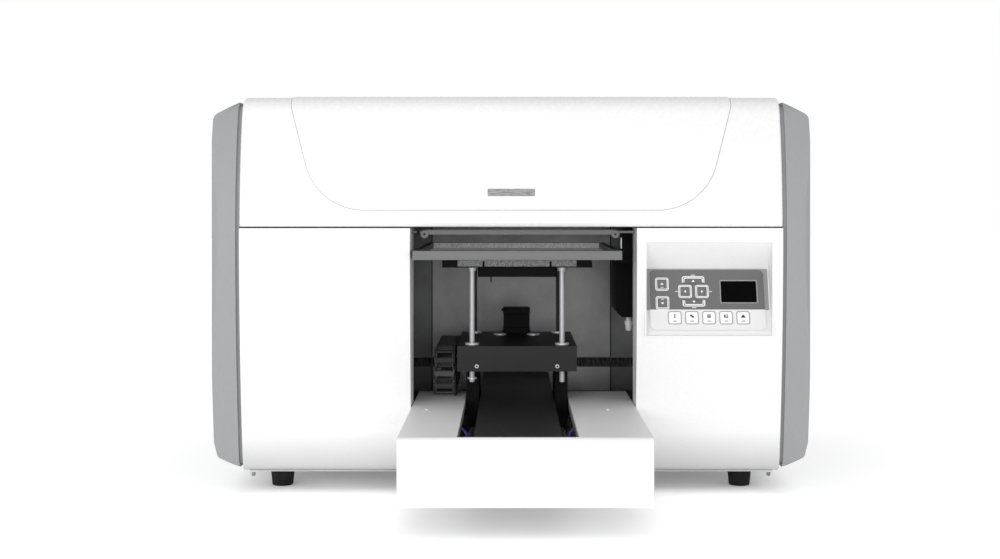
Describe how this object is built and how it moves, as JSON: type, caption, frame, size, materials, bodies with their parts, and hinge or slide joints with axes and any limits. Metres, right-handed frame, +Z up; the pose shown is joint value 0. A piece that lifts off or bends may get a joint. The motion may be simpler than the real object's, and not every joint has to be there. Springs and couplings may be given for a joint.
{
  "type": "flatbed uv printer",
  "caption": "Benchtop flatbed UV printer: hinged white hood, grey side panels, print table that lifts and feeds over a front bed housing, keypad at the right.",
  "frame": {"origin": "on the floor under the middle of the machine's bounding box", "axes": "+Z up, -Y towards the operator, +X to the operator's right"},
  "size_m": [0.85, 0.868, 0.563],
  "materials": {
    "white_enamel": "semi-gloss powder coat",
    "white_abs": "glossy moulded",
    "grey_abs": "satin moulded",
    "grey_enamel": "satin powder coat",
    "galvanised_sheet": "dull sheet",
    "black_anodised": "black anodised, satin",
    "grey_anodised": "grey anodised, satin",
    "bright_steel": "ground and polished",
    "black_plastic": "moulded, matt",
    "black_rubber": "matt",
    "grey_plastic": "printed membrane, satin",
    "white_plastic": "moulded, satin",
    "black_glass": "glossy window"
  },
  "bodies": {
    "root": {"base_pan": "galvanised_sheet", "bed_belt": "black_rubber", "bed_housing": "white_enamel", "bed_motor": "black_anodised", "bed_shaft_left": "bright_steel", "bed_shaft_right": "bright_steel", "capping_station": "black_plastic", "chain_lower_run": "black_plastic", "chamber_back_wall": "galvanised_sheet", "chamber_wall_left": "galvanised_sheet", "chamber_wall_right": "galvanised_sheet", "cross_beam": "grey_anodised", "display_window": "black_glass", "foot_front_left": "black_rubber", "foot_front_right": "black_rubber", "foot_rear_left": "black_rubber", "foot_rear_right": "black_rubber", "front_cover_left": "white_enamel", "front_cover_right": "white_enamel", "head_belt": "black_rubber", "head_motor": "black_anodised", "hinge_rod": "bright_steel", "keypad_plate": "grey_plastic", "mains_inlet": "black_plastic", "rail_bed": "black_anodised", "rear_cover": "grey_enamel", "side_panel_left": "grey_abs", "side_panel_right": "grey_abs", "tie_bar": "grey_anodised"},
    "hood": {"hood": "white_abs"},
    "head": {"head_carriage": "black_anodised", "print_head": "black_plastic", "curing_lamp": "grey_anodised"},
    "head_pulley": {"head_drive_pulley": "bright_steel"},
    "bed": {"lift_block": "black_anodised", "lift_motor": "black_anodised", "slide_bearing_left": "grey_anodised", "slide_bearing_right": "grey_anodised", "chain_upper_run": "black_plastic"},
    "lift": {"print_table": "grey_anodised", "lift_frame": "black_anodised", "guide_rod_left": "bright_steel", "guide_rod_right": "bright_steel", "lift_screw_left": "bright_steel", "lift_screw_right": "bright_steel"},
    "bed_pulley": {"bed_drive_pulley": "bright_steel"},
    "bend": {"chain_bend": "black_plastic"},
    "floor_link": {"chain_floor_link": "black_plastic"},
    "rocker": {"rocker_switch": "black_plastic"},
    "key_table_up": {"key_table_up": "white_plastic"},
    "key_table_down": {"key_table_down": "white_plastic"},
    "key_left": {"key_left": "white_plastic"},
    "key_right": {"key_right": "white_plastic"},
    "key_up": {"key_up": "white_plastic"},
    "key_down": {"key_down": "white_plastic"},
    "key_power": {"key_power": "white_plastic"},
    "key_feed": {"key_feed": "white_plastic"},
    "key_clean": {"key_clean": "white_plastic"},
    "key_light": {"key_light": "white_plastic"},
    "key_print": {"key_print": "white_plastic"}
  },
  "joints": [
    {"name": "hood_hinge", "type": "hinge", "parent": "root", "child": "hood", "pos_m": [0, 0.384, 0.552], "axis": [-1, 0, 0], "range_deg": [0, 65]},
    {"name": "head_travel", "type": "slide", "parent": "root", "child": "head", "axis": [-1, 0, 0], "range_m": [0, 0.36]},
    {"name": "head_pulley_turn", "type": "hinge", "parent": "root", "child": "head_pulley", "pos_m": [0.3469, 0.022, 0.45], "axis": [0, 0, 1], "range_deg": [-3300, 3300]},
    {"name": "bed_feed", "type": "slide", "parent": "root", "child": "bed", "axis": [0, -1, 0], "range_m": [-0.06, 0.24]},
    {"name": "bed_pulley_turn", "type": "hinge", "parent": "root", "child": "bed_pulley", "pos_m": [-0.05675, 0.268, 0.04975], "axis": [1, 0, 0], "range_deg": [-2300, 2300]},
    {"name": "bed_lift", "type": "slide", "parent": "bed", "child": "lift", "axis": [0, 0, 1], "range_m": [-0.06, 0]},
    {"name": "chain_bend_roll", "type": "slide", "parent": "bed", "child": "bend", "axis": [0, -1, 0], "range_m": [-0.12, 0.03], "deforming": ["chain_upper_run"]},
    {"name": "chain_link_roll", "type": "slide", "parent": "root", "child": "floor_link", "axis": [0, -1, 0], "range_m": [-0.03, 0.12], "deforming": ["chain_lower_run"]},
    {"name": "switch_rock", "type": "hinge", "parent": "root", "child": "rocker", "pos_m": [-0.28, 0.4275, 0.12275], "axis": [-1, 0, 0], "range_deg": [0, 14]},
    {"name": "key_table_up_press", "type": "slide", "parent": "root", "child": "key_table_up", "axis": [0, 0.9493, -0.3144], "range_m": [0, 0.0008], "stiffness_N_per_m": 500},
    {"name": "key_table_down_press", "type": "slide", "parent": "root", "child": "key_table_down", "axis": [0, 0.9493, -0.3144], "range_m": [0, 0.0008], "stiffness_N_per_m": 500},
    {"name": "key_left_press", "type": "slide", "parent": "root", "child": "key_left", "axis": [0, 0.9493, -0.3144], "range_m": [0, 0.0008], "stiffness_N_per_m": 500},
    {"name": "key_right_press", "type": "slide", "parent": "root", "child": "key_right", "axis": [0, 0.9493, -0.3144], "range_m": [0, 0.0008], "stiffness_N_per_m": 500},
    {"name": "key_up_press", "type": "slide", "parent": "root", "child": "key_up", "axis": [0, 0.9493, -0.3144], "range_m": [0, 0.0008], "stiffness_N_per_m": 500},
    {"name": "key_down_press", "type": "slide", "parent": "root", "child": "key_down", "axis": [0, 0.9493, -0.3144], "range_m": [0, 0.0008], "stiffness_N_per_m": 500},
    {"name": "key_power_press", "type": "slide", "parent": "root", "child": "key_power", "axis": [0, 0.9493, -0.3144], "range_m": [0, 0.0008], "stiffness_N_per_m": 500},
    {"name": "key_feed_press", "type": "slide", "parent": "root", "child": "key_feed", "axis": [0, 0.9493, -0.3144], "range_m": [0, 0.0008], "stiffness_N_per_m": 500},
    {"name": "key_clean_press", "type": "slide", "parent": "root", "child": "key_clean", "axis": [0, 0.9493, -0.3144], "range_m": [0, 0.0008], "stiffness_N_per_m": 500},
    {"name": "key_light_press", "type": "slide", "parent": "root", "child": "key_light", "axis": [0, 0.9493, -0.3144], "range_m": [0, 0.0008], "stiffness_N_per_m": 500},
    {"name": "key_print_press", "type": "slide", "parent": "root", "child": "key_print", "axis": [0, 0.9493, -0.3144], "range_m": [0, 0.0008], "stiffness_N_per_m": 500}
  ],
  "couplings": [
    {"joint": "head_pulley_turn", "follows": "head_travel", "rad_per_m": -149.25},
    {"joint": "bed_pulley_turn", "follows": "bed_feed", "rad_per_m": 149.25},
    {"joint": "chain_bend_roll", "follows": "bed_feed", "ratio": -0.5},
    {"joint": "chain_link_roll", "follows": "bed_feed", "ratio": 0.5}
  ]
}
